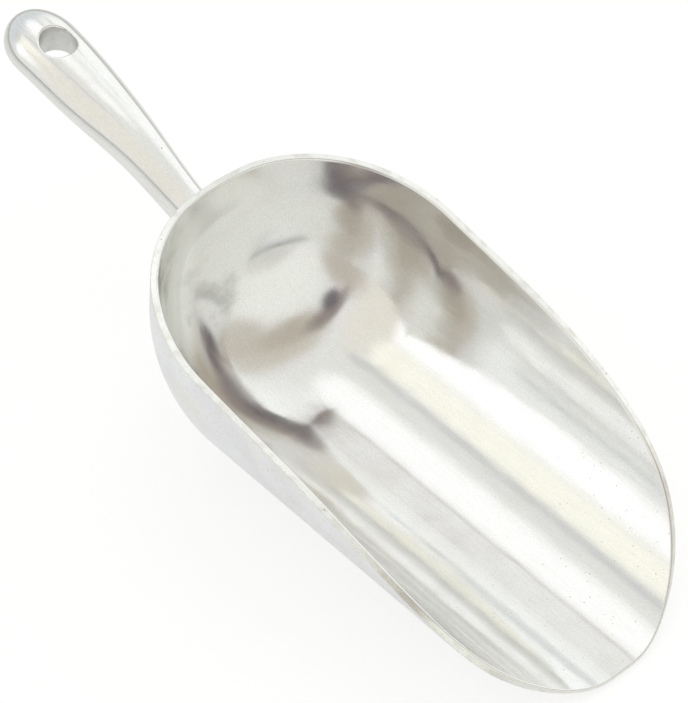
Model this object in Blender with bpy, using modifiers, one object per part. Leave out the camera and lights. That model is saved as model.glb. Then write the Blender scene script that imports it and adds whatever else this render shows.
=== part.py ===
"""Cast aluminium ice scoop: a round-bottomed bowl, the flared root behind it and a solid grip with a hanging hole.

+X points out of the mouth, +Y to the side, +Z up, in metres. The scoop is symmetric about Y = 0, its keel rests
on Z = 0, and X = 0 is halfway along its whole length.
"""

import math

import bmesh
import bpy
import numpy as np
from mathutils import Vector

# Driving dimensions
LENGTH = 0.3096  # grip end to lip
WALL = 0.0028  # bowl wall, and the rim's width
LIP_WALL = 0.0013  # where the lip is ground thin
LIP_GRIND = 0.0220  # how far back from the lip the wall thins
HALF_WIDTH = 0.0574  # inside of the bowl
WAIST_HEIGHT = 0.0564  # from the inside of the keel to where the walls stand upright
KEEL_HALF_WIDTH = 0.0045  # the flat land along the bottom
BACK_DEPTH = 0.0561  # how far the rounded back reaches behind the straight part
BOWL_LENGTH = 0.2028  # inside of the back wall to the lip
RIM_EDGE = 0.0006  # rounding of the rim's two edges
HOLE_RADIUS = 0.0066
HOLE_CHAMFER = 0.0006  # at the hanging hole's two mouths
HOLE_BEHIND = 0.0838  # the hanging hole's upright axis, behind the back wall's inside
PIECE_GAP = 0.0003  # between touching pieces
ROOT_LENGTH = 0.0120  # the root, from the back wall to the grip
ROOT_FILLET = 0.0050
GRIP_END_ROUND = 0.0175  # length of the grip's rounded end
UNDERSIDE_POWER = 3.0  # of the superellipse below the grip's widest line; 2 would be an ellipse

# Places that follow from them
LIP_X = LENGTH / 2
BACK_X = LIP_X - BOWL_LENGTH  # inside of the back wall
CROWN_X = BACK_X + BACK_DEPTH  # where the rounded back meets the straight part
GRIP_REACH = LENGTH - BOWL_LENGTH  # inside of the back wall to the grip's end

# Distance in front of the back wall's inside, and the rim's height above the inside of the keel
RIM_PROFILE = (
    (0.0000, 0.0710),
    (0.0285, 0.0663),
    (0.0570, 0.0606),
    (0.0996, 0.0537),
    (0.1422, 0.0413),
    (0.1706, 0.0263),
    (0.1875, 0.0124),
    (0.1988, 0.0028),
    (0.2028, 0.0000),
)

# The grip is domed above its widest line and nearly flat below it. Distance behind the back wall's inside,
# height of the widest line above the inside of the keel, half width, height of the dome, depth of the underside
GRIP_PROFILE = (
    (0.0000, 0.0443, 0.0071, 0.0098, 0.0032),
    (0.0185, 0.0503, 0.0076, 0.0100, 0.0030),
    (0.0396, 0.0582, 0.0095, 0.0102, 0.0027),
    (0.0623, 0.0637, 0.0123, 0.0104, 0.0024),
    (0.0853, 0.0687, 0.0136, 0.0105, 0.0022),
    (0.1065, 0.0714, 0.0139, 0.0102, 0.0022),
)

# Mesh steps
ARC_STEPS = 16
BACK_STEPS = 12
STRAIGHT_STEPS = 28
GRIP_RINGS = 32
GRIP_SIDES = 36
ROOT_RINGS = 18
HOLE_SIDES = 40
HOLE_OVERSHOOT = 0.0040  # how far the hole's cutter stands proud of the grip
CORE_DEPTH = 0.0120  # how far the cutter that shapes the root's front reaches inside the bowl


def clear_scene():
    for obj in list(bpy.data.objects):
        bpy.data.objects.remove(obj, do_unlink=True)


def new_collection(name):
    collection = bpy.data.collections.new(name)
    bpy.context.scene.collection.children.link(collection)
    return collection


def metal(name, colour, roughness):
    material = bpy.data.materials.new(name)
    material.use_nodes = True
    shader = material.node_tree.nodes["Principled BSDF"]
    shader.inputs["Base Color"].default_value = (*colour, 1.0)
    shader.inputs["Roughness"].default_value = roughness
    shader.inputs["Metallic"].default_value = 1.0
    return material


def spline(knots, column, at):
    """Value of a column of the knots on the natural cubic curve through them, at a place in the first column."""
    x = np.array([knot[0] for knot in knots])
    y = np.array([knot[column] for knot in knots])
    step = np.diff(x)
    count = len(x)
    rows = np.eye(count)
    right = np.zeros(count)
    for i in range(1, count - 1):
        rows[i, i - 1] = step[i - 1]
        rows[i, i] = 2 * (step[i - 1] + step[i])
        rows[i, i + 1] = step[i]
        right[i] = 6 * ((y[i + 1] - y[i]) / step[i] - (y[i] - y[i - 1]) / step[i - 1])
    bend = np.linalg.solve(rows, right)
    i = int(np.clip(np.searchsorted(x, at) - 1, 0, count - 2))
    left, over = x[i + 1] - at, at - x[i]
    curved = (bend[i] * left**3 + bend[i + 1] * over**3) / (6 * step[i])
    start = y[i] / step[i] - bend[i] * step[i] / 6
    end = y[i + 1] / step[i] - bend[i + 1] * step[i] / 6
    return float(curved + start * left + end * over)


def rim_height(x):
    """Height of the rim above the inside of the keel at a given X."""
    return max(spline(RIM_PROFILE, 1, x - BACK_X), 0.0)


def wall_strip(x, y, reach, direction):
    """Points up the inside of the wall, from the keel's edge at (x, y) to the rim.

    The strip is a quarter ellipse that goes out by reach along direction and up by WAIST_HEIGHT, and
    then stands upright. A strip whose rim is lower than that is a shorter part of the ellipse.
    """
    rim = rim_height(x + reach * direction[0])
    turn = math.acos(max(1 - rim / WAIST_HEIGHT, 0.0))
    upright = max(rim - WAIST_HEIGHT, 0.0) / WAIST_HEIGHT
    points = []
    for i in range(ARC_STEPS + 1):
        along = (turn + upright) * i / ARC_STEPS
        angle = min(along, turn)
        out = reach * math.sin(angle)
        up = WAIST_HEIGHT * (1 - math.cos(angle) + along - angle)
        points.append(Vector((x + out * direction[0], y + out * direction[1], WALL + up)))
    return points


def half_bowl_strips():
    """Strips of the +Y half in order: straight back, round the corner, then along the side to the lip."""
    side_reach = HALF_WIDTH - KEEL_HALF_WIDTH
    strips = [wall_strip(CROWN_X, 0.0, BACK_DEPTH, (-1.0, 0.0))]
    for i in range(BACK_STEPS):
        turn = math.pi / 2 * i / BACK_STEPS
        across = Vector((-BACK_DEPTH * math.cos(turn), side_reach * math.sin(turn)))
        direction = across.normalized()
        strips.append(wall_strip(CROWN_X, KEEL_HALF_WIDTH, across.length, direction))
    for i in range(STRAIGHT_STEPS + 1):
        part = math.sin(math.pi / 2 * i / STRAIGHT_STEPS)  # the stations crowd towards the lip
        x = CROWN_X + (LIP_X - CROWN_X) * part
        strips.append(wall_strip(x, KEEL_HALF_WIDTH, side_reach, (0.0, 1.0)))
    return strips


def half_bowl_mesh(name, strips):
    """The inside skin of the +Y half, open at Y = 0 and at the rim, with its normals facing out of the bowl."""
    mesh = bpy.data.meshes.new(name)
    skin = bmesh.new()
    grid = [[skin.verts.new(point) for point in strip] for strip in strips]
    for near, far in zip(grid, grid[1:]):
        for i in range(ARC_STEPS):
            skin.faces.new((near[i], near[i + 1], far[i + 1], far[i]))
    keel = [strip[0] for strip in grid[BACK_STEPS + 1 :]]
    middle = [grid[0][0]] + [skin.verts.new((vert.co.x, 0.0, vert.co.z)) for vert in keel[1:]]
    for i in range(len(keel) - 1):
        skin.faces.new((keel[i], keel[i + 1], middle[i + 1], middle[i]))
    bmesh.ops.remove_doubles(skin, verts=skin.verts, dist=1e-6)
    bmesh.ops.recalc_face_normals(skin, faces=skin.faces)
    lowest = min(skin.faces, key=lambda face: face.calc_center_median().z)
    if lowest.normal.z > 0:
        bmesh.ops.reverse_faces(skin, faces=skin.faces)
    skin.to_mesh(mesh)
    skin.free()
    return mesh


def add_bowl_skin(obj, thickness, offset):
    """Mirrors the half skin and thickens it. An offset of 1 grows it outwards only."""
    mirror = obj.modifiers.new("Mirror", "MIRROR")
    mirror.use_axis = (False, True, False)
    mirror.merge_threshold = 0.0001
    shell = obj.modifiers.new("Solidify", "SOLIDIFY")
    shell.thickness = thickness
    shell.offset = offset
    shell.use_even_offset = True
    return shell


def wall_share(x):
    """The wall's thickness at X as a share of WALL: it thins smoothly towards the lip."""
    part = min(max((x - (LIP_X - LIP_GRIND)) / LIP_GRIND, 0.0), 1.0)
    return 1 - (1 - LIP_WALL / WALL) * part * part * (3 - 2 * part)


def make_bowl(collection, material):
    mesh = half_bowl_mesh("bowl", half_bowl_strips())
    mesh.materials.append(material)
    mesh.shade_smooth()
    mesh.set_sharp_from_angle(angle=math.radians(40))
    bowl = bpy.data.objects.new("bowl", mesh)
    collection.objects.link(bowl)
    group = bowl.vertex_groups.new(name="wall")
    for vert in mesh.vertices:
        group.add([vert.index], wall_share(vert.co.x), "REPLACE")
    add_bowl_skin(bowl, WALL, 1.0).vertex_group = group.name
    edge = bowl.modifiers.new("Rim edges", "BEVEL")
    edge.width = RIM_EDGE
    edge.segments = 2
    edge.limit_method = "ANGLE"
    edge.angle_limit = math.radians(50)


def grip_section(behind):
    """Widest line's height, half width, dome height and underside depth at a distance behind the back wall."""
    height, half_width, dome, underside = (spline(GRIP_PROFILE, i, behind) for i in (1, 2, 3, 4))
    past = max((behind - (GRIP_REACH - GRIP_END_ROUND)) / GRIP_END_ROUND, 0.0)
    half_width *= math.sqrt(max(1 - past**2, 0.0))
    taper = math.sqrt(max(1 - past**3, 0.0))
    return height, half_width, dome * taper, underside * taper


def grip_ring(behind, grow=0.0):
    """Points round the grip's upright section, from the +Y side over the dome and back underneath."""
    height, half_width, dome, underside = grip_section(behind)
    centre = Vector((BACK_X - behind, 0.0, WALL + height))
    points = []
    for i in range(GRIP_SIDES):
        turn = 2 * math.pi * i / GRIP_SIDES
        across, up = math.cos(turn), math.sin(turn)
        if up >= 0:
            rise = (dome + grow) * up
        else:
            across = math.copysign(abs(across) ** (2 / UNDERSIDE_POWER), across)
            rise = -(underside + grow) * abs(up) ** (2 / UNDERSIDE_POWER)
        points.append(centre + Vector((0.0, (half_width + grow) * across, rise)))
    return points


def loft(name, rings, end_point=None):
    """A closed body through rings of equal count, with a flat cap, or a point, at the far end."""
    mesh = bpy.data.meshes.new(name)
    body = bmesh.new()
    grid = [[body.verts.new(point) for point in points] for points in rings]
    count = len(rings[0])
    for near, far in zip(grid, grid[1:]):
        for i in range(count):
            j = (i + 1) % count
            body.faces.new((near[i], near[j], far[j], far[i]))
    body.faces.new(grid[0])
    if end_point is None:
        body.faces.new(grid[-1])
    else:
        tip = body.verts.new(end_point)
        for i in range(count):
            body.faces.new((grid[-1][i], grid[-1][(i + 1) % count], tip))
    bmesh.ops.recalc_face_normals(body, faces=body.faces)
    body.to_mesh(mesh)
    body.free()
    mesh.shade_smooth()
    mesh.set_sharp_from_angle(angle=math.radians(40))
    return mesh


def cut(obj, cutter, cutters):
    cutters.objects.link(cutter)
    cutter.hide_render = True
    cutter.display_type = "WIRE"
    modifier = obj.modifiers.new(cutter.name, "BOOLEAN")
    modifier.operation = "DIFFERENCE"
    modifier.object = cutter


def grip_surface(behind, across, side):
    """Height of the grip's surface at a point: of the dome where side is 1, of the underside where it is -1."""
    height, half_width, dome, underside = grip_section(behind)
    share = abs(across) / half_width
    if side > 0:
        return WALL + height + dome * math.sqrt(1 - share**2)
    return WALL + height - underside * (1 - share**UNDERSIDE_POWER) ** (1 / UNDERSIDE_POWER)


def hole_cutter():
    """The hanging hole: upright, with mouths that widen by the chamfer where they meet the grip's surface."""
    wide = HOLE_RADIUS + 2 * HOLE_CHAMFER
    rings = []
    for radius, side, out in (
        (wide, 1, HOLE_OVERSHOOT),
        (wide, 1, HOLE_CHAMFER),
        (HOLE_RADIUS, 1, -HOLE_CHAMFER),
        (HOLE_RADIUS, -1, -HOLE_CHAMFER),
        (wide, -1, HOLE_CHAMFER),
        (wide, -1, HOLE_OVERSHOOT),
    ):
        ring = []
        for i in range(HOLE_SIDES):
            turn = 2 * math.pi * i / HOLE_SIDES
            behind = HOLE_BEHIND + radius * math.cos(turn)
            across = radius * math.sin(turn)
            height = grip_surface(behind, across, side) + side * out
            ring.append(Vector((BACK_X - behind, across, height)))
        rings.append(ring)
    return bpy.data.objects.new("hole_cutter", loft("hole_cutter", rings))


def make_grip(collection, cutters, material):
    start = WALL + ROOT_LENGTH + PIECE_GAP
    rings = []
    for i in range(GRIP_RINGS):
        part = math.sin(math.pi / 2 * i / GRIP_RINGS)  # the rings crowd towards the rounded end
        rings.append(grip_ring(start + (GRIP_REACH - start) * part))
    end = Vector((-LENGTH / 2, 0.0, WALL + grip_section(GRIP_REACH)[0]))
    mesh = loft("grip", rings, end)
    mesh.materials.append(material)
    grip = bpy.data.objects.new("grip", mesh)
    collection.objects.link(grip)
    cut(grip, hole_cutter(), cutters)


def bowl_core():
    """The bowl's back with its wall grown inwards, and outwards by the gap: what the root has to clear."""
    back_strips = half_bowl_strips()[: BACK_STEPS + 3]
    core = bpy.data.objects.new("bowl_core", half_bowl_mesh("bowl_core", back_strips))
    outwards = WALL + PIECE_GAP
    thickness = CORE_DEPTH + outwards
    add_bowl_skin(core, thickness, (outwards - CORE_DEPTH) / thickness)
    return core


def make_root(collection, cutters, material):
    """The root widens in a fillet towards the back wall, and its front follows the wall's outside."""
    rings = []
    for behind in np.linspace(WALL + ROOT_LENGTH, -CORE_DEPTH / 2, ROOT_RINGS):
        sunk = min(max((ROOT_FILLET + WALL - behind) / ROOT_FILLET, 0.0), 1.0)
        rings.append(grip_ring(float(behind), ROOT_FILLET * (1 - math.sqrt(1 - sunk**2))))
    mesh = loft("root", rings)
    mesh.materials.append(material)
    root = bpy.data.objects.new("root", mesh)
    collection.objects.link(root)
    cut(root, bowl_core(), cutters)


def main():
    clear_scene()
    parts = new_collection("ice_scoop")
    cutters = new_collection("cutters")
    make_bowl(parts, metal("polished_bowl", (0.86, 0.86, 0.84), 0.28))
    make_root(parts, cutters, metal("satin_root", (0.84, 0.84, 0.82), 0.35))
    make_grip(parts, cutters, metal("polished_grip", (0.88, 0.87, 0.84), 0.18))


main()
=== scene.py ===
"""Cast aluminium ice scoop: fine surfaces, materials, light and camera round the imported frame."""

import math

import bmesh
import bpy
import numpy as np
from mathutils import Matrix, Vector
from mathutils.bvhtree import BVHTree


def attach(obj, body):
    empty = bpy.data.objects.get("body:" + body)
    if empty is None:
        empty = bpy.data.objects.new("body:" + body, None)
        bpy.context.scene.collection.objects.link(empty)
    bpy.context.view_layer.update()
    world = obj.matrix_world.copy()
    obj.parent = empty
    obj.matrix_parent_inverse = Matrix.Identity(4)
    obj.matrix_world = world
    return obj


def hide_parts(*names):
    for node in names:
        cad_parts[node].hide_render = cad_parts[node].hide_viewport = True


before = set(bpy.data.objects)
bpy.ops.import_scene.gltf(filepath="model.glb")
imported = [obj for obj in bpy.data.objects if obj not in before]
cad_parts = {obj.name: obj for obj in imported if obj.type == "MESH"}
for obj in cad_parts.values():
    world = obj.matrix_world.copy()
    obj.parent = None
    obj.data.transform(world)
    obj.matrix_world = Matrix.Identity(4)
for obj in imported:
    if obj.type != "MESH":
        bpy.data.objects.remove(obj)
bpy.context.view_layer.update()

# ---------------------------------------------------------------- dimensions, as in the CAD part
LENGTH = 0.3096
WALL = 0.0028
LIP_WALL = 0.0013
LIP_GRIND = 0.0220
HALF_WIDTH = 0.0574
WAIST_HEIGHT = 0.0564
KEEL_HALF_WIDTH = 0.0045
BACK_DEPTH = 0.0561
BOWL_LENGTH = 0.2028
HOLE_RADIUS = 0.0066
HOLE_BEHIND = 0.0838
ROOT_LENGTH = 0.0120
ROOT_FILLET = 0.0050
GRIP_END_ROUND = 0.0175
UNDERSIDE_POWER = 3.0
LIP_X = LENGTH / 2
BACK_X = LIP_X - BOWL_LENGTH
CROWN_X = BACK_X + BACK_DEPTH
GRIP_REACH = LENGTH - BOWL_LENGTH
SIDE_REACH = HALF_WIDTH - KEEL_HALF_WIDTH
# The rim: distance ahead of the back wall's inside, and height above the inside's bottom.
RIM_PROFILE = (
    (0.0000, 0.0710),
    (0.0285, 0.0663),
    (0.0570, 0.0606),
    (0.0996, 0.0537),
    (0.1422, 0.0413),
    (0.1706, 0.0263),
    (0.1875, 0.0124),
    (0.1988, 0.0028),
    (0.2028, 0.0000),
)
# The grip: distance behind the back wall's inside, then the four measures of grip_section.
GRIP_PROFILE = (
    (0.0000, 0.0443, 0.0071, 0.0098, 0.0032),
    (0.0185, 0.0503, 0.0076, 0.0100, 0.0030),
    (0.0396, 0.0582, 0.0095, 0.0102, 0.0027),
    (0.0623, 0.0637, 0.0123, 0.0104, 0.0024),
    (0.0853, 0.0687, 0.0136, 0.0105, 0.0022),
    (0.1065, 0.0714, 0.0139, 0.0102, 0.0022),
)

# Fine details
RIM_INNER_ROUND = 0.0009
RIM_OUTER_ROUND = 0.0003
INNER_ROUND_SHARE = 0.45
OUTER_ROUND_SHARE = 0.3
RIM_PULL_POWER = 10
HOLE_ROUND = 0.0009
HOLE_COLLAR = 0.0006
HOLE_CLEARED = HOLE_RADIUS + HOLE_ROUND + 1.6 * HOLE_COLLAR
LIP_EASE = 0.0120
ROOT_SINK = 0.0006

# Mesh steps
BACK_STEPS = 48
SIDE_STEPS = 120
LAND_STEPS = 6
WALL_STEPS = 60
ROUND_STEPS = 4
GRIP_STEPS = 150
GRIP_SIDES = 128
HOLE_SIDES = 96
COLLAR_STEPS = 4
BORE_STEPS = 12
ROOT_STEPS = 32
JUNCTION_STEP = 0.0005
MERGE = 1e-6


# ---------------------------------------------------------------- curves and surfaces
def natural_spline(knots, column):
    """The natural cubic curve through the knots, as a function of arrays."""
    x = np.array([knot[0] for knot in knots])
    y = np.array([knot[column] for knot in knots])
    step = np.diff(x)
    count = len(x)
    rows = np.eye(count)
    right = np.zeros(count)
    for i in range(1, count - 1):
        rows[i, i - 1 : i + 2] = step[i - 1], 2 * (step[i - 1] + step[i]), step[i]
        right[i] = 6 * ((y[i + 1] - y[i]) / step[i] - (y[i] - y[i - 1]) / step[i - 1])
    bend = np.linalg.solve(rows, right)

    def value(at):
        at = np.asarray(at, float)
        i = np.clip(np.searchsorted(x, at) - 1, 0, count - 2)
        left, over = x[i + 1] - at, at - x[i]
        curved = (bend[i] * left**3 + bend[i + 1] * over**3) / (6 * step[i])
        start = y[i] / step[i] - bend[i] * step[i] / 6
        end = y[i + 1] / step[i] - bend[i + 1] * step[i] / 6
        return curved + start * left + end * over

    return value


rim_profile = natural_spline(RIM_PROFILE, 1)
grip_profiles = [natural_spline(GRIP_PROFILE, column) for column in (1, 2, 3, 4)]


def eased(part):
    """A smooth step from 0 to 1."""
    return part * part * (3 - 2 * part)


def unit(vectors):
    return vectors / np.maximum(np.linalg.norm(vectors, axis=-1, keepdims=True), 1e-12)


def wall_strip(x, land, across):
    """Points up the inside of the wall, from the keel's middle to the rim, and their normals."""
    reach = float(np.linalg.norm(across))
    rim = max(float(rim_profile(x + across[0] - BACK_X)), 0.0)
    turn = math.acos(max(1 - rim / WAIST_HEIGHT, 0.0))
    upright = max(rim - WAIST_HEIGHT, 0.0) / WAIST_HEIGHT
    along = (turn + upright) * np.linspace(0, 1, WALL_STEPS + 1)
    angle = np.minimum(along, turn)
    out = np.sin(angle)
    up = WALL + WAIST_HEIGHT * (1 - np.cos(angle) + along - angle)
    wall = np.stack([x + out * across[0], land[-1] + out * across[1], up], -1)
    flat = np.stack([np.full(len(land), x), land, np.full(len(land), WALL)], -1)
    lean = out[:, None] * (across[0] / BACK_DEPTH**2, across[1] / SIDE_REACH**2)
    wall_normals = unit(np.column_stack([lean, -np.cos(angle) / WAIST_HEIGHT]))
    flat_normals = np.tile((0.0, 0.0, -1.0), (len(land) - 1, 1))
    return np.vstack([flat[:-1], wall]), np.vstack([flat_normals, wall_normals])


def inside_grid():
    """Strips of the +Y half, from straight back round the corner and along the side to the lip."""
    land = np.linspace(0, KEEL_HALF_WIDTH, LAND_STEPS + 1)
    strips = []
    for i, turn in enumerate(np.linspace(0, math.pi / 2, BACK_STEPS, endpoint=False)):
        reached = land[np.minimum(np.arange(LAND_STEPS + 1), i)]
        across = (-BACK_DEPTH * math.cos(turn), SIDE_REACH * math.sin(turn))
        strips.append(wall_strip(CROWN_X, reached, across))
    for part in np.linspace(0, math.pi / 2, SIDE_STEPS + 1):
        x = CROWN_X + (LIP_X - CROWN_X) * math.sin(part)
        strips.append(wall_strip(x, land, (0.0, SIDE_REACH)))
    return np.array([strip[0] for strip in strips]), np.array([strip[1] for strip in strips])


def mirrored(grid):
    """The +Y half's strips followed backwards by those of the -Y half, lip to lip."""
    return np.concatenate([grid[::-1], grid[1:] * (1, -1, 1)])


def wall_thickness(x):
    """The wall's thickness at places along X, ground thinner towards the lip."""
    part = np.clip((x - (LIP_X - LIP_GRIND)) / LIP_GRIND, 0, 1)
    return WALL - (WALL - LIP_WALL) * eased(part)


def one_sided_normals(rings):
    """Normals of a grid of closed rings, all on the same side of it."""
    round_ring = np.roll(rings, -1, axis=1) - np.roll(rings, 1, axis=1)
    return unit(np.cross(round_ring, np.gradient(rings, axis=0)))


def ring_normals(rings):
    """Normals of a tube of closed rings, pointing to its outside."""
    normals = one_sided_normals(rings)
    outward = rings - rings.mean(axis=1, keepdims=True)
    sign = np.sign(np.einsum("ijk,ijk->i", normals, outward))
    return normals * sign[:, None, None]


def grip_section(behind):
    """Widest line's height, half width, dome height and underside depth, as arrays."""
    height, half_width, dome, underside = (profile(behind) for profile in grip_profiles)
    past = np.clip((behind - (GRIP_REACH - GRIP_END_ROUND)) / GRIP_END_ROUND, 0, 1)
    taper = np.sqrt(1 - past**3)
    return height, half_width * np.sqrt(1 - past**2), dome * taper, underside * taper


def grip_points(behind, turn, grow=0.0):
    """Points of the grip's surface, from arrays of places along it and angles round it."""
    behind, turn = np.broadcast_arrays(behind, turn)
    height, half_width, dome, underside = grip_section(behind)
    across, up = np.cos(turn), np.sin(turn)
    low = up < 0
    power = 2 / UNDERSIDE_POWER
    across = np.where(low, np.sign(across) * np.abs(across) ** power, across)
    rise = np.where(low, -(underside + grow) * np.abs(up) ** power, (dome + grow) * up)
    y = (half_width + grow) * across
    return np.stack([BACK_X - behind, y, WALL + height + rise], -1)


def grip_surface(behind, across, side):
    """Height of the grip's surface: the dome's where side is 1, the underside's where it is -1."""
    height, half_width, dome, underside = grip_section(behind)
    share = np.abs(across) / half_width
    if side > 0:
        return WALL + height + dome * np.sqrt(1 - share**2)
    return WALL + height - underside * (1 - share**UNDERSIDE_POWER) ** (1 / UNDERSIDE_POWER)


# ---------------------------------------------------------------- meshes
NORMAL_LAYER = "surface_normal"
# Places in the bowl's list of materials, and in the grip's.
INSIDE, RIM, OUTSIDE = 0, 1, 2
SKIN, BORE = 0, 1


def new_mesh():
    mesh = bmesh.new()
    mesh.verts.layers.float_vector.new(NORMAL_LAYER)
    return mesh


def add_grid(mesh, points, normals, material_index, wrap=False):
    """Adds a grid of points as quads, and returns its vertices row by row."""
    layer = mesh.verts.layers.float_vector[NORMAL_LAYER]
    verts = []
    for row, row_normals in zip(points, normals):
        verts.append([mesh.verts.new(point) for point in row])
        for vert, normal in zip(verts[-1], row_normals):
            vert[layer] = normal
    columns = len(verts[0])
    for i in range(len(verts) - 1):
        for j in range(columns if wrap else columns - 1):
            k = (j + 1) % columns
            face = mesh.faces.new([verts[i][j], verts[i][k], verts[i + 1][k], verts[i + 1][j]])
            face.material_index = material_index
    return verts


def finish_mesh(mesh, name, materials):
    """Makes a closed mesh a piece of the root body, with the normals its vertices were given."""
    bmesh.ops.remove_doubles(mesh, verts=mesh.verts, dist=MERGE)
    bmesh.ops.recalc_face_normals(mesh, faces=mesh.faces)
    for face in mesh.faces:
        face.smooth = True
    layer = mesh.verts.layers.float_vector[NORMAL_LAYER]
    normals = [tuple(vert[layer]) for vert in mesh.verts]
    mesh.verts.layers.float_vector.remove(layer)
    data = bpy.data.meshes.new(name)
    mesh.to_mesh(data)
    mesh.free()
    data.normals_split_custom_set_from_vertices(normals)
    for material in materials:
        data.materials.append(material)
    piece = bpy.data.objects.new(name, data)
    bpy.context.scene.collection.objects.link(piece)
    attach(piece, "root")
    return piece


def add_cap(mesh, ring):
    """Closes a ring of vertices with a fan, hidden where two pieces meet."""
    layer = mesh.verts.layers.float_vector[NORMAL_LAYER]
    middle = sum((vert.co for vert in ring), Vector()) / len(ring)
    centre = mesh.verts.new(middle)
    centre[layer] = (ring[0].co - ring[len(ring) // 4].co).cross(ring[0].co - middle).normalized()
    for i, vert in enumerate(ring):
        mesh.faces.new([vert, ring[i - 1], centre])


def rim_frame(grid, normals):
    """The closed line of the rim, with the directions across its wall and out past its edge."""
    front = grid[-1, LAND_STEPS - 1 :: -1], grid[0, 1:LAND_STEPS]
    line = np.concatenate([grid[:, -1], *front])
    down = np.tile((0.0, 0.0, -1.0), (len(line) - len(grid), 1))
    across = np.concatenate([normals[:, -1], down])
    along = np.roll(line, -1, axis=0) - np.roll(line, 1, axis=0)
    out = unit(np.cross(along, across))
    out *= np.sign(out[len(grid) // 2, 2])
    out[0] = out[len(grid) - 1 :] = (1.0, 0.0, 0.0)
    return line, across, out


def make_bowl(inside, rim, outside):
    """The bowl in one closed mesh; returns the grid of its outside, for the root to meet."""
    grid, normals = (mirrored(half) for half in inside_grid())
    line, across, out = rim_frame(grid, normals)
    strips, columns = grid.shape[:2]
    wall = wall_thickness(grid[..., 0])[..., None]
    edge_wall = wall_thickness(line[:, 0])[:, None]
    inner_round = np.minimum(RIM_INNER_ROUND, edge_wall * INNER_ROUND_SHARE)
    outer_round = np.minimum(RIM_OUTER_ROUND, edge_wall * OUTER_ROUND_SHARE)
    share = np.linspace(0, 1, columns)[None, :, None]
    from_lip = np.clip((LIP_X - grid[..., :1]) / LIP_EASE, 0, 1)
    near_lip = 1 - eased(from_lip)
    pull = out[:strips, None] * np.maximum(share**RIM_PULL_POWER, near_lip)
    pull *= np.concatenate([np.ones_like(share), share, np.ones_like(share)], -1)
    inner = grid - pull * inner_round[:strips, None]
    outer = grid + normals * wall - pull * outer_round[:strips, None]
    inner_rows, inner_normals, outer_rows, outer_normals = [], [], [], []
    for part in np.linspace(0, math.pi / 2, ROUND_STEPS + 1):
        level, rise = math.cos(part), math.sin(part)
        step = inner_round * (1 - level)
        inner_rows.append(line + across * step - out * inner_round * (1 - rise))
        inner_normals.append(out * rise - across * level)
        step = edge_wall - outer_round * (1 - level)
        outer_rows.append(line + across * step - out * outer_round * (1 - rise))
        outer_normals.append(out * rise + across * level)
    mesh = new_mesh()
    add_grid(mesh, inner, -normals, INSIDE)
    add_grid(mesh, outer, normals, OUTSIDE)
    add_grid(mesh, inner_rows, inner_normals, INSIDE, wrap=True)
    land_rows = [inner_rows[-1]] + outer_rows[::-1]
    land_normals = [inner_normals[-1]] + outer_normals[::-1]
    add_grid(mesh, land_rows, land_normals, RIM, wrap=True)
    piece = finish_mesh(mesh, "bowl_casting", (inside, rim, outside))
    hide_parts("bowl")
    return outer


def hole_grid(side):
    """Rings of the hanging hole's mouth, from the grip's surface down into the bore."""
    angles = np.linspace(0, 2 * math.pi, HOLE_SIDES, endpoint=False)
    collar = np.linspace(HOLE_COLLAR, 0, COLLAR_STEPS + 1)
    radii = [HOLE_RADIUS + HOLE_ROUND + out for out in collar]
    sinks = [0.0] * len(radii)
    for part in np.linspace(0, math.pi / 2, 2 * ROUND_STEPS + 1)[1:]:
        radii.append(HOLE_RADIUS + HOLE_ROUND * (1 - math.sin(part)))
        sinks.append(HOLE_ROUND * (1 - math.cos(part)))
    rows = []
    for radius, sink in zip(radii, sinks):
        behind = HOLE_BEHIND + radius * np.cos(angles)
        across = radius * np.sin(angles)
        height = grip_surface(behind, across, side) - side * sink
        rows.append(np.stack([BACK_X - behind, across, height], -1))
    rows = np.array(rows)
    normals = one_sided_normals(rows)
    normals *= np.sign(np.sum(normals[0, :, 2]) * side)
    return rows, normals


def open_loop(mesh, side, centre, height):
    """The open edge round the cleared place of the hole, on the dome or the underside, in order."""
    ahead = {}
    for edge in mesh.edges:
        first, second = edge.verts
        if (first.co.xy - centre).length > 2 * HOLE_RADIUS:
            continue
        if edge.is_boundary and (first.co.z - height) * side > 0:
            ahead.setdefault(first, []).append(second)
            ahead.setdefault(second, []).append(first)
    loop = [next(iter(ahead))]
    while len(loop) < len(ahead):
        loop.append(next(vert for vert in ahead[loop[-1]] if vert not in loop[-2:]))
    return loop


def stitch(mesh, outer, inner, centre):
    """Joins two loops of vertices round a centre with a band of triangles."""

    def turned(loop):
        offsets = [vert.co.xy - centre for vert in loop]
        if sum(offset.cross(offsets[i - 1]) for i, offset in enumerate(offsets)) > 0:
            loop, offsets = loop[::-1], offsets[::-1]
        angles = [math.atan2(offset.y, offset.x) for offset in offsets]
        start = angles.index(min(angles))
        loop, angles = loop[start:] + loop[:start], angles[start:] + angles[:start]
        return loop + loop[:1], angles + [angles[0] + 2 * math.pi]

    outer, outer_angles = turned(outer)
    inner, inner_angles = turned(inner)
    i = j = 0
    while i < len(outer) - 1 or j < len(inner) - 1:
        step_out = j == len(inner) - 1
        if not step_out and i < len(outer) - 1:
            step_out = outer_angles[i + 1] < inner_angles[j + 1]
        if step_out:
            mesh.faces.new([outer[i], outer[i + 1], inner[j]])
            i += 1
        else:
            mesh.faces.new([outer[i], inner[j + 1], inner[j]])
            j += 1


def junction_normals(turn):
    """The normals of the grip's surface where the root passes into it, the same for both."""
    behind = WALL + ROOT_LENGTH + np.array([[-JUNCTION_STEP], [JUNCTION_STEP]])
    return ring_normals(grip_points(behind, turn))[0]


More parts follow.
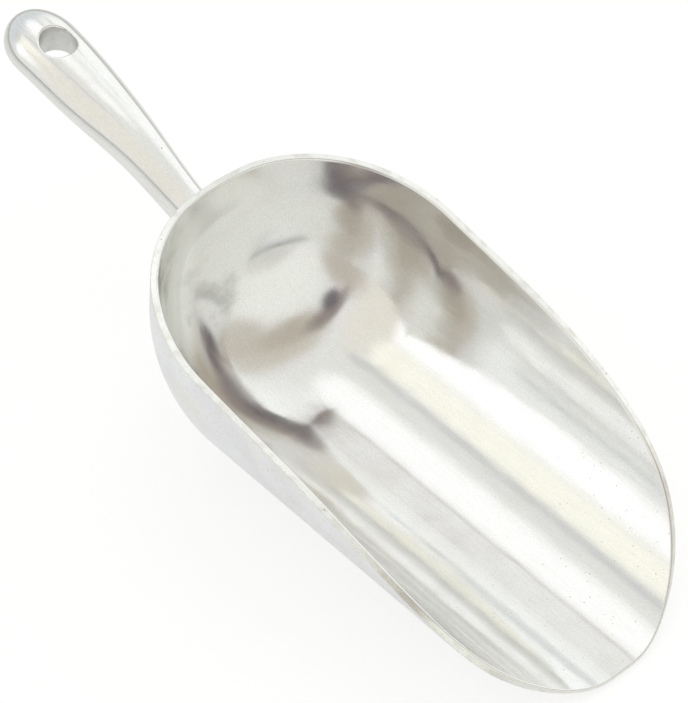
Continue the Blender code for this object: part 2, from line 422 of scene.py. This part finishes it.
def make_grip(polished, bored):
    """The grip with its hanging hole, in one closed mesh."""
    start = WALL + ROOT_LENGTH
    along = np.sin(np.linspace(0, math.pi / 2, GRIP_STEPS + 1))
    behind = (start + (GRIP_REACH - start) * along)[:, None]
    turn = np.linspace(0, 2 * math.pi, GRIP_SIDES, endpoint=False)[None, :]
    rings = grip_points(behind, turn)
    normals = ring_normals(rings)
    normals[-1] = (-1.0, 0.0, 0.0)
    normals[0] = junction_normals(turn)
    mesh = new_mesh()
    add_cap(mesh, add_grid(mesh, rings, normals, SKIN, wrap=True)[0])
    centre = Vector((BACK_X - HOLE_BEHIND, 0.0))
    gone = [vert for vert in mesh.verts if (vert.co.xy - centre).length < HOLE_CLEARED]
    bmesh.ops.delete(mesh, geom=gone, context="VERTS")
    middle = WALL + float(grip_profiles[0](HOLE_BEHIND)) + HOLE_ROUND
    mouths = {}
    for side in (1, -1):
        loop = open_loop(mesh, side, centre, middle)
        rows, row_normals = hole_grid(side)
        mouths[side] = rows, row_normals, loop
    for rows, row_normals, loop in mouths.values():
        verts = add_grid(mesh, rows, row_normals, SKIN, wrap=True)
        stitch(mesh, loop, verts[0], centre)
    share = np.linspace(0, 1, BORE_STEPS + 1)[:, None, None]
    bore = mouths[1][0][-1] * (1 - share) + mouths[-1][0][-1] * share
    axis = np.array([BACK_X - HOLE_BEHIND, 0.0, 0.0])
    inward = unit((axis - bore) * (1, 1, 0))
    add_grid(mesh, bore, inward, BORE, wrap=True)
    piece = finish_mesh(mesh, "grip_casting", (polished, bored))
    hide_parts("grip")


def make_root(outer, material):
    """The flare from the grip's first ring to the back wall, whose outside it meets in a fillet."""
    rows, columns = outer.shape[:2]
    flat = [Vector(point) for point in outer.reshape(-1, 3)]
    quads = []
    for i in range(rows - 1):
        for j in range(columns - 1):
            a = i * columns + j
            quads.append((a, a + 1, a + columns + 1, a + columns))
    wall = BVHTree.FromPolygons(flat, quads)
    turn = np.linspace(0, 2 * math.pi, GRIP_SIDES, endpoint=False)
    start = WALL + ROOT_LENGTH

    def wall_x(point):
        origin = Vector((BACK_X - start, point[1], point[2]))
        hit = wall.ray_cast(origin, Vector((1, 0, 0)))[0]
        return hit.x if hit else BACK_X

    rings = []
    for part in np.linspace(0, 1, ROOT_STEPS + 1):
        away = ROOT_LENGTH * part
        near = min(max((ROOT_FILLET - away) / ROOT_FILLET, 0.0), 1.0)
        grow = ROOT_FILLET * (1 - math.sqrt(1 - near**2))
        ring = grip_points(np.full(GRIP_SIDES, WALL + away), turn, grow)
        blend = eased(part)
        for point in ring:
            foot = wall_x(point) + ROOT_SINK * (1 - part) - away
            point[0] = foot * (1 - blend) + (BACK_X - WALL - away) * blend
        rings.append(ring)
    rings = np.array(rings)
    normals = ring_normals(rings)
    normals[-1] = junction_normals(turn)
    mesh = new_mesh()
    verts = add_grid(mesh, rings, normals, SKIN, wrap=True)
    add_cap(mesh, verts[0])
    add_cap(mesh, verts[-1])
    piece = finish_mesh(mesh, "root_casting", (material,))
    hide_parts("root")


# ---------------------------------------------------------------- materials
# The flat floor of a pit, as a share of its radius.
PIT_FLOOR = 0.4
# Each cell's random number, 0 to 1, from which its pit begins to show, and from which it's full.
PIT_CHOICE = 0.6, 0.9
CUTTER_RINGS = 520
CUTTER_WANDER = 0.6


def mix_colours(tree, amount, base, over):
    """The base colour where amount is 0, the other where it is 1. Each is numbers or an output."""
    mix = tree.nodes.new("ShaderNodeMix")
    mix.data_type = "RGBA"
    factor, first, second = mix.inputs[0], mix.inputs[6], mix.inputs[7]
    tree.links.new(amount, factor)
    for socket, colour in ((first, base), (second, over)):
        if isinstance(colour, bpy.types.NodeSocket):
            tree.links.new(colour, socket)
        else:
            socket.default_value = (*colour, 1)
    return mix.outputs[2]


class Metal:
    """A metallic material whose colour, roughness and surface come from textures in metres."""

    def __init__(self, name):
        self.material = bpy.data.materials.new(name)
        self.material.use_nodes = True
        self.nodes = self.material.node_tree.nodes
        self.links = self.material.node_tree.links
        self.shader = self.nodes["Principled BSDF"]
        self.shader.inputs["Metallic"].default_value = 1.0
        self.coordinates = self.nodes.new("ShaderNodeTexCoord")
        self.colour = None
        self.normal = None

    def place(self, stretch=(1, 1, 1), shift=(0, 0, 0)):
        """Texture coordinates in metres, stretched along an axis where its factor is below 1."""
        mapping = self.nodes.new("ShaderNodeMapping")
        mapping.inputs["Scale"].default_value = stretch
        mapping.inputs["Location"].default_value = shift
        self.links.new(self.coordinates.outputs["Object"], mapping.inputs["Vector"])
        return mapping.outputs["Vector"]

    def noise(self, size, detail=3.0, stretch=(1, 1, 1), shift=(0, 0, 0)):
        """Cloudy noise whose patches are about size metres across."""
        noise = self.nodes.new("ShaderNodeTexNoise")
        noise.inputs["Scale"].default_value = 1 / size
        noise.inputs["Detail"].default_value = detail
        self.links.new(self.place(stretch, shift), noise.inputs["Vector"])
        return noise.outputs["Fac"]

    def pits(self, spacing, radius):
        """1 in small round pits, one at most in each cell of the spacing, and 0 elsewhere."""
        cells = self.nodes.new("ShaderNodeTexVoronoi")
        cells.inputs["Scale"].default_value = 1 / spacing
        self.links.new(self.place(), cells.inputs["Vector"])
        edge = radius / spacing
        near = self.remap(cells.outputs["Distance"], PIT_FLOOR * edge, edge, 1, 0)
        chosen = self.nodes.new("ShaderNodeSeparateColor")
        self.links.new(cells.outputs["Color"], chosen.inputs["Color"])
        return self.times(near, self.remap(chosen.outputs["Red"], *PIT_CHOICE, 0, 1))

    def remap(self, value, low, high, at_low, at_high):
        """A smooth step from at_low to at_high as the value goes from low to high."""
        node = self.nodes.new("ShaderNodeMapRange")
        node.interpolation_type = "SMOOTHSTEP"
        for socket, number in zip(node.inputs[1:5], (low, high, at_low, at_high)):
            socket.default_value = number
        self.links.new(value, node.inputs["Value"])
        return node.outputs["Result"]

    def maths(self, operation, first, second):
        node = self.nodes.new("ShaderNodeMath")
        node.operation = operation
        self.links.new(first, node.inputs[0])
        self.links.new(second, node.inputs[1])
        return node.outputs["Value"]

    def times(self, first, second):
        return self.maths("MULTIPLY", first, second)

    def axis(self, name):
        """The X, Y or Z coordinate in metres."""
        node = self.nodes.new("ShaderNodeSeparateXYZ")
        self.links.new(self.coordinates.outputs["Object"], node.inputs["Vector"])
        return node.outputs[name]

    def tint(self, amount, colour, over=None):
        """Puts a colour over the present one where amount is 1. The first says what it is over."""
        present = self.colour or over or colour
        self.colour = mix_colours(self.material.node_tree, amount, present, colour)

    def rough(self, amount, low, high):
        """Roughness from low to high as amount goes from 0 to 1."""
        self.links.new(self.remap(amount, 0, 1, low, high), self.shader.inputs["Roughness"])

    def bump(self, height, distance):
        """Raises the surface by distance metres where height is 1."""
        node = self.nodes.new("ShaderNodeBump")
        node.inputs["Distance"].default_value = distance
        self.links.new(height, node.inputs["Height"])
        if self.normal:
            self.links.new(self.normal, node.inputs["Normal"])
        self.normal = node.outputs["Normal"]

    def finish(self):
        self.links.new(self.colour, self.shader.inputs["Base Color"])
        self.links.new(self.normal, self.shader.inputs["Normal"])
        return self.material


def polished_inside():
    """Polished along the scoop: a soft mirror with gentle waves, smudges with a painted dark
    reflection by the root, and a pitted mouth.
    """
    metal = Metal("polished_inside")
    streaks = metal.noise(0.0009, 4, stretch=(0.08, 1, 1))
    metal.tint(metal.remap(streaks, 0.35, 0.7, 0, 1), (0.87, 0.87, 0.86), over=(0.91, 0.91, 0.90))
    metal.tint(metal.remap(metal.noise(0.0005, 3), 0.40, 0.64, 0, 0.6), (0.80, 0.80, 0.79))
    # Smudges and a painted dark reflection: a darker patch on the lower back wall, by the root.
    smudge_and_painted_reflection = metal.noise(0.012, 8, stretch=(1, 0.6, 1), shift=(0.3, 0, 0))
    smudge_and_painted_reflection = metal.remap(smudge_and_painted_reflection, 0.48, 0.66, 0, 1)
    low_enough = metal.times(
        metal.remap(metal.axis("X"), -0.046, -0.041, 0.15, 0.8),
        metal.remap(metal.axis("X"), -0.038, -0.026, 1, 0.1),
    )
    by_root = metal.times(low_enough, metal.remap(metal.axis("Y"), -0.004, 0.010, 1, 0.1))
    metal.tint(metal.times(smudge_and_painted_reflection, by_root), (0.50, 0.50, 0.49))
    stain = metal.remap(metal.noise(0.026, 5), 0.52, 0.75, 0, 0.4)
    metal.tint(stain, (0.82, 0.80, 0.74))
    pits = metal.pits(0.0016, 0.00030)
    at_mouth = metal.remap(metal.axis("X"), 0.060, 0.120, 0.1, 0.75)
    pits = metal.times(pits, at_mouth)
    metal.tint(pits, (0.42, 0.40, 0.36))
    metal.rough(metal.noise(0.010, 5), 0.04, 0.19)
    metal.bump(metal.noise(0.034, 2), 0.00030)
    metal.bump(metal.noise(0.013, 2), 0.00003)
    metal.bump(streaks, 0.0000035)
    metal.bump(metal.noise(0.0006, 2), 0.000003)
    metal.bump(pits, -0.00005)
    return metal.finish()


def ground_rim():
    """Ground by a belt: a smoother edge with dull patches, and brown specks towards the mouth."""
    metal = Metal("ground_rim")
    patches = metal.noise(0.0045, 6)
    metal.tint(metal.remap(patches, 0.45, 0.7, 0, 1), (0.80, 0.79, 0.74), over=(0.91, 0.92, 0.88))
    towards_mouth = metal.remap(metal.axis("X"), 0.000, 0.080, 0.15, 0.55)
    specks = metal.times(metal.remap(metal.noise(0.0007, 5), 0.52, 0.68, 0, 0.8), towards_mouth)
    metal.tint(specks, (0.66, 0.61, 0.54))
    metal.tint(metal.pits(0.0030, 0.00040), (0.44, 0.40, 0.35))
    metal.rough(patches, 0.14, 0.40)
    metal.bump(metal.noise(0.0005, 3, stretch=(1, 0.3, 1)), 0.000008)
    metal.bump(metal.noise(0.006, 3), 0.00006)
    return metal.finish()


def satin_outside():
    """Tumbled smooth outside: cool, satin and finely pitted, with faint waves of the casting."""
    metal = Metal("satin_outside")
    cloud = metal.noise(0.014, 6)
    metal.tint(metal.remap(cloud, 0.35, 0.7, 0, 1), (0.88, 0.89, 0.90), over=(0.94, 0.955, 0.965))
    metal.tint(metal.remap(metal.noise(0.030, 4), 0.5, 0.72, 0, 0.6), (0.91, 0.89, 0.85))
    metal.tint(metal.remap(metal.noise(0.0012, 5), 0.52, 0.75, 0, 0.5), (0.70, 0.70, 0.69))
    pits = metal.pits(0.0034, 0.00040)
    metal.tint(pits, (0.45, 0.44, 0.42))
    metal.rough(metal.noise(0.006, 5), 0.24, 0.40)
    metal.bump(metal.noise(0.022, 2), 0.00022)
    metal.bump(metal.noise(0.0011, 4), 0.000014)
    metal.bump(pits, -0.00008)
    return metal.finish()


def polished_grip(name):
    """Grip and root, buffed lengthwise: long clean reflections that turn satin towards the bowl."""
    metal = Metal(name)
    streaks = metal.noise(0.0008, 4, stretch=(0.06, 1, 1))
    metal.tint(metal.remap(streaks, 0.35, 0.7, 0, 1), (0.87, 0.87, 0.855), over=(0.92, 0.92, 0.91))
    metal.tint(metal.remap(metal.noise(0.0005, 3), 0.40, 0.64, 0, 0.5), (0.82, 0.82, 0.81))
    metal.tint(metal.remap(metal.noise(0.016, 5), 0.52, 0.75, 0, 0.4), (0.82, 0.79, 0.74))
    pits = metal.pits(0.0052, 0.00042)
    metal.tint(pits, (0.45, 0.42, 0.38))
    near_wall = metal.remap(metal.axis("X"), BACK_X - WALL - ROOT_LENGTH, BACK_X - WALL, 0, 1)
    metal.tint(near_wall, (0.90, 0.915, 0.925))
    polish = metal.remap(metal.noise(0.008, 5), 0, 1, 0.06, 0.24)
    dull = metal.times(near_wall, metal.remap(metal.noise(0.004, 5), 0, 1, 0.24, 0.44))
    metal.links.new(metal.maths("MAXIMUM", polish, dull), metal.shader.inputs["Roughness"])
    metal.bump(metal.noise(0.026, 2, stretch=(0.5, 1, 1)), 0.00010)
    metal.bump(streaks, 0.0000025)
    metal.bump(pits, -0.00007)
    return metal.finish()


def bored_hole():
    """The drilled bore, with fine rings left by the cutter; its colours are darkened partly for the
    machined finish and partly as painted shade inside the hole.
    """
    metal = Metal("bored_hole")
    rings = metal.nodes.new("ShaderNodeTexWave")
    rings.bands_direction = "Z"
    rings.inputs["Scale"].default_value = CUTTER_RINGS
    rings.inputs["Distortion"].default_value = CUTTER_WANDER
    metal.links.new(metal.place(), rings.inputs["Vector"])
    # The bore's colours are darker than the polished metal's: partly its machined finish, partly
    # painted shade inside the hole.
    metal.tint(rings.outputs["Fac"], (0.62, 0.62, 0.61), over=(0.80, 0.80, 0.79))
    metal.tint(metal.remap(metal.noise(0.003, 4), 0.5, 0.7, 0, 0.5), (0.58, 0.57, 0.55))
    metal.rough(metal.noise(0.002, 4), 0.22, 0.42)
    metal.bump(rings.outputs["Fac"], 0.000012)
    return metal.finish()


# ---------------------------------------------------------------- camera, light and floor
VIEW_TURN = math.radians(43.051)
VIEW_RISE = math.radians(47.103)
VIEW_ROLL = math.radians(4.856)
CAMERA_PLACE = Vector((0.66273, -0.69151, 1.06253))
LENS = 214.73
SENSOR_WIDTH = 36
NEAREST, FARTHEST = 0.01, 20

FLOOR_REACH = 6
FLOOR_GREY = 0.45
FLOOR_ROUGHNESS = 0.9
FLOOR_GLOW = 0.65
# In the metal the floor glows less: the first glow up to the first distance from the origin, and
# the second from the second distance on.
MIRRORED_GLOW = 0.47, 0.08
MIRRORED_FROM_TO = 0.18, 0.80
BACKGROUND = (1.05, 1.05, 1.05)


def make_camera():
    """The photo's camera, from its turn round the scoop, its rise above the table and its roll."""
    back = Vector(
        (
            math.sin(VIEW_TURN) * math.cos(VIEW_RISE),
            -math.cos(VIEW_TURN) * math.cos(VIEW_RISE),
            math.sin(VIEW_RISE),
        )
    )
    level = Vector((math.cos(VIEW_TURN), math.sin(VIEW_TURN), 0.0))
    up = back.cross(level)
    right = math.cos(VIEW_ROLL) * level + math.sin(VIEW_ROLL) * up
    top = -math.sin(VIEW_ROLL) * level + math.cos(VIEW_ROLL) * up
    data = bpy.data.cameras.new("camera")
    data.sensor_fit = "HORIZONTAL"
    data.sensor_width = SENSOR_WIDTH
    data.lens = LENS
    data.clip_start = NEAREST
    data.clip_end = FARTHEST
    camera = bpy.data.objects.new("camera", data)
    turned = Matrix((right, top, back)).transposed().to_4x4()
    camera.matrix_world = Matrix.Translation(CAMERA_PLACE) @ turned
    bpy.context.scene.collection.objects.link(camera)
    bpy.context.scene.camera = camera


def make_floor():
    """A pale table that fills every view, darker in the metal than to the camera."""
    mesh = bmesh.new()
    bmesh.ops.create_grid(mesh, x_segments=1, y_segments=1, size=FLOOR_REACH)
    data = bpy.data.meshes.new("floor")
    mesh.to_mesh(data)
    mesh.free()
    material = bpy.data.materials.new("pale_table")
    material.use_nodes = True
    shader = material.node_tree.nodes["Principled BSDF"]
    shader.inputs["Base Color"].default_value = (FLOOR_GREY, FLOOR_GREY, FLOOR_GREY, 1)
    shader.inputs["Roughness"].default_value = FLOOR_ROUGHNESS
    shader.inputs["Specular IOR Level"].default_value = 0.0
    shader.inputs["Emission Color"].default_value = (1, 1, 1, 1)
    nodes, links = material.node_tree.nodes, material.node_tree.links
    away = nodes.new("ShaderNodeVectorMath")
    away.operation = "LENGTH"
    links.new(nodes.new("ShaderNodeTexCoord").outputs["Object"], away.inputs[0])
    in_metal = nodes.new("ShaderNodeMapRange")
    for socket, number in zip(in_metal.inputs[1:5], MIRRORED_FROM_TO + MIRRORED_GLOW):
        socket.default_value = number
    links.new(away.outputs["Value"], in_metal.inputs["Value"])
    glow = nodes.new("ShaderNodeMapRange")
    glow.inputs["To Max"].default_value = FLOOR_GLOW
    links.new(in_metal.outputs["Result"], glow.inputs["To Min"])
    links.new(nodes.new("ShaderNodeLightPath").outputs["Is Camera Ray"], glow.inputs["Value"])
    links.new(glow.outputs["Result"], shader.inputs["Emission Strength"])
    data.materials.append(material)
    floor = bpy.data.objects.new("floor", data)
    bpy.context.scene.collection.objects.link(floor)


# The room round the table. A place is in degrees from straight overhead, towards +X and +Y. Each
# thing is a soft oval: middle, half sizes, brightness of red, green and blue, and solidity.
DOME = (0.86, 0.86, 0.83)
ROOM = (
    ("far side", (66, 0), (26, 50), (0.92, 0.93, 0.87), 0.9),
    ("counter", (90, 0), (12, 50), (0.70, 0.70, 0.65), 0.9),
    ("cool side", (-66, 10), (32, 75), (0.70, 0.74, 0.76), 0.9),
    ("beige wall", (-3, -50), (22, 34), (0.88, 0.85, 0.77), 0.9),
    ("far window", (-12, 66), (34, 37), (1.08, 1.10, 1.08), 1.0),
    ("far bar", (-26, 48), (12, 4), (0.76, 0.79, 0.77), 0.9),
    ("near window", (-33, -52), (13, 15), (1.22, 1.22, 1.22), 1.0),
    ("cream panel", (-25, -30), (12, 11), (1.11, 1.10, 0.98), 0.95),
    ("skylight", (-24, 13.5), (22, 15), (1.15, 1.15, 1.14), 1.0),
    ("window bar", (-26, 29), (12, 1.8), (0.74, 0.71, 0.69), 0.9),
    ("lamp stand", (-18, -16), (16, 3.6), (0.68, 0.69, 0.68), 0.9),
    ("brown haze", (29, 14), (14, 40), (0.63, 0.59, 0.51), 0.95),
    ("brown corner", (43, 44), (12, 22), (0.58, 0.53, 0.45), 0.8),
    ("brown wall", (33, 8), (8, 24), (0.50, 0.45, 0.38), 0.8),
    ("dark doorway", (44, -60), (26, 17), (0.52, 0.46, 0.39), 0.85),
    ("dark post", (28, -27), (6, 25), (0.29, 0.24, 0.22), 0.95),
    ("photographer", (34, -34), (6, 10), (0.17, 0.15, 0.16), 0.95),
    ("side shelf", (-46, -28), (9, 12), (0.72, 0.70, 0.66), 0.8),
)
# How crisp the edge of each thing in the room is.
EDGE = 5.0
# Light goes round the inside of the bowl many times below its rim.
MIRROR_BOUNCES = 12


def make_world():
    """The room as a soft dome of light, plain white where the camera sees it directly."""
    world = bpy.data.worlds.new("studio")
    world.use_nodes = True
    nodes, links = world.node_tree.nodes, world.node_tree.links

    def maths(kind, operation, *values):
        """A node of scalar or vector mathematics, fed with numbers or with other nodes' outputs."""
        node = nodes.new(kind)
        node.operation = operation
        for socket, value in zip(node.inputs, values):
            if isinstance(value, bpy.types.NodeSocket):
                links.new(value, socket)
            else:
                socket.default_value = value
        return node

    direction = nodes.new("ShaderNodeTexCoord").outputs["Generated"]
    height = nodes.new("ShaderNodeSeparateXYZ")
    links.new(direction, height.inputs[0])
    tilt = maths("ShaderNodeMath", "ARCCOSINE", height.outputs["Z"])
    tilt = maths("ShaderNodeMath", "DEGREES", tilt.outputs[0])
    flat = maths("ShaderNodeVectorMath", "MULTIPLY", direction, (1, 1, 0))
    flat = maths("ShaderNodeVectorMath", "NORMALIZE", flat.outputs["Vector"])
    place = maths("ShaderNodeVectorMath", "SCALE", flat.outputs["Vector"])
    links.new(tilt.outputs[0], place.inputs["Scale"])
    light = DOME
    # Each oval's amount is its solidity times exp(-away ** EDGE), where away is 1 at its edge.
    for name, middle, half, colour, solidity in ROOM:
        oval = nodes.new("ShaderNodeMapping")
        oval.vector_type = "TEXTURE"
        oval.label = name
        oval.inputs["Location"].default_value = (*middle, 0)
        oval.inputs["Scale"].default_value = (*half, 1)
        links.new(place.outputs["Vector"], oval.inputs["Vector"])
        away = maths("ShaderNodeVectorMath", "LENGTH", oval.outputs["Vector"])
        fall = maths("ShaderNodeMath", "POWER", away.outputs["Value"], EDGE)
        soft = maths("ShaderNodeMath", "POWER", math.exp(-1), fall.outputs[0])
        amount = maths("ShaderNodeMath", "MULTIPLY", soft.outputs[0], solidity)
        light = mix_colours(world.node_tree, amount.outputs[0], light, colour)
    to_camera = nodes.new("ShaderNodeLightPath").outputs["Is Camera Ray"]
    seen = mix_colours(world.node_tree, to_camera, light, BACKGROUND)
    links.new(seen, nodes["Background"].inputs["Color"])
    bpy.context.scene.world = world


def main():
    outer = make_bowl(polished_inside(), ground_rim(), satin_outside())
    make_grip(polished_grip("polished_grip"), bored_hole())
    make_root(outer, polished_grip("polished_root"))
    make_floor()
    make_world()
    make_camera()
    bpy.context.scene.view_settings.view_transform = "Standard"
    bpy.context.scene.cycles.glossy_bounces = MIRROR_BOUNCES


main()
